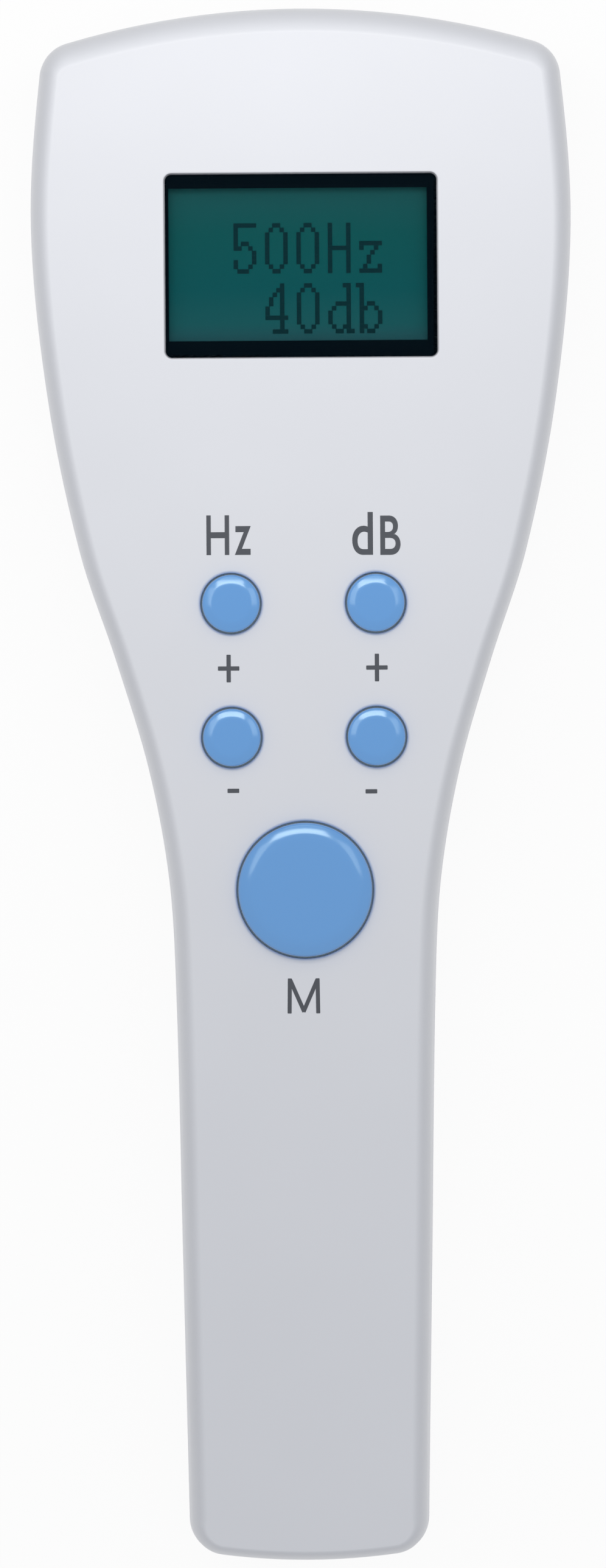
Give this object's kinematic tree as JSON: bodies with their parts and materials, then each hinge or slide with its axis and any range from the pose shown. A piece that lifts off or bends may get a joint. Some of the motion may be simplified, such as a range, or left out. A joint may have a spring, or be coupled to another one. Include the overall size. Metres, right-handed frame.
{
  "type": "handheld audiometer",
  "caption": "Handheld hearing tester with a wide head, recessed display, round tone and level keys, a rear loudspeaker grille and a narrow grip with a sliding battery door.",
  "frame": {"origin": "middle of the outline on the back face, which the object lies on", "axes": "+X to the right seen from the front, +Y from the tail to the head, +Z out of the front face"},
  "size_m": [0.0698, 0.2, 0.03],
  "materials": {
    "shell_plastic": "glossy cool white",
    "door_plastic": "glossy cool white, satin thumb ridges",
    "key_plastic": "glossy blue, smooth",
    "window": "clear, glossy",
    "black_print": "matt black print",
    "lcd": "teal, dim backlight",
    "diffuser": "milky",
    "tin_plate": "bright tinned",
    "screw_steel": "zinc plated",
    "circuit_board": "green solder mask, satin",
    "chip_plastic": "matt moulded black",
    "black_plastic": "matt",
    "gold_pin": "gold plated",
    "capacitor_sleeve": "shrink sleeve",
    "mesh_fabric": "fine black mesh",
    "foam": "closed-cell foam",
    "magnet": "ground ferrite",
    "paper_cone": "dark film",
    "copper": "enamelled copper wire",
    "wire_jacket": "soft insulation",
    "cell_sleeve": "plain sleeve"
  },
  "bodies": {
    "casing": {"front_shell": "shell_plastic", "rear_shell": "shell_plastic", "case_screws": "screw_steel", "display_lens": "window", "display_mask": "black_print", "lcd_bezel": "tin_plate", "lcd_panel": "lcd", "lcd_backlight": "diffuser", "lcd_board": "circuit_board", "lcd_header": "black_plastic", "header_pins": "gold_pin", "main_board": "circuit_board", "board_screws": "screw_steel", "microcontroller": "chip_plastic", "audio_amplifier": "chip_plastic", "crystal": "tin_plate", "capacitors": "capacitor_sleeve", "resistors": "chip_plastic", "dust_mesh": "mesh_fabric", "speaker_gasket": "foam", "speaker_basket": "tin_plate", "speaker_cone": "paper_cone", "voice_coil": "copper", "speaker_magnet": "magnet", "speaker_clamp": "tin_plate", "speaker_screws": "screw_steel", "speaker_leads": "wire_jacket", "headphone_jack": "black_plastic", "jack_board": "circuit_board", "jack_screws": "screw_steel", "jack_leads": "wire_jacket", "battery_left": "cell_sleeve", "battery_right": "cell_sleeve", "contact_positive": "tin_plate", "contact_negative": "tin_plate", "contact_link": "tin_plate", "spring_left": "tin_plate", "spring_right": "tin_plate", "battery_leads": "wire_jacket", "dome_hz_up": "tin_plate", "switch_hz_up": "black_plastic", "dome_hz_down": "tin_plate", "switch_hz_down": "black_plastic", "dome_db_up": "tin_plate", "switch_db_up": "black_plastic", "dome_db_down": "tin_plate", "switch_db_down": "black_plastic", "dome_main": "tin_plate", "switch_main": "black_plastic"},
    "battery_door": {"battery_door": "door_plastic"},
    "hz_up_key": {"key_hz_up": "key_plastic", "plunger_hz_up": "black_plastic"},
    "hz_down_key": {"key_hz_down": "key_plastic", "plunger_hz_down": "black_plastic"},
    "db_up_key": {"key_db_up": "key_plastic", "plunger_db_up": "black_plastic"},
    "db_down_key": {"key_db_down": "key_plastic", "plunger_db_down": "black_plastic"},
    "main_key": {"key_main": "key_plastic", "plunger_main": "black_plastic"}
  },
  "joints": [
    {"name": "battery_door_slide", "type": "slide", "parent": "casing", "child": "battery_door", "axis": [0, -1, 0], "range_m": [0, 0.07]},
    {"name": "hz_up_press", "type": "slide", "parent": "casing", "child": "hz_up_key", "axis": [0, 0, -1], "range_m": [0, 0.0005], "stiffness_N_per_m": 2500, "springref_m": -0.0002, "deforming": ["dome_hz_up"]},
    {"name": "hz_down_press", "type": "slide", "parent": "casing", "child": "hz_down_key", "axis": [0, 0, -1], "range_m": [0, 0.0005], "stiffness_N_per_m": 2500, "springref_m": -0.0002, "deforming": ["dome_hz_down"]},
    {"name": "db_up_press", "type": "slide", "parent": "casing", "child": "db_up_key", "axis": [0, 0, -1], "range_m": [0, 0.0005], "stiffness_N_per_m": 2500, "springref_m": -0.0002, "deforming": ["dome_db_up"]},
    {"name": "db_down_press", "type": "slide", "parent": "casing", "child": "db_down_key", "axis": [0, 0, -1], "range_m": [0, 0.0005], "stiffness_N_per_m": 2500, "springref_m": -0.0002, "deforming": ["dome_db_down"]},
    {"name": "main_press", "type": "slide", "parent": "casing", "child": "main_key", "axis": [0, 0, -1], "range_m": [0, 0.0005], "stiffness_N_per_m": 2500, "springref_m": -0.0002, "deforming": ["dome_main"]}
  ]
}
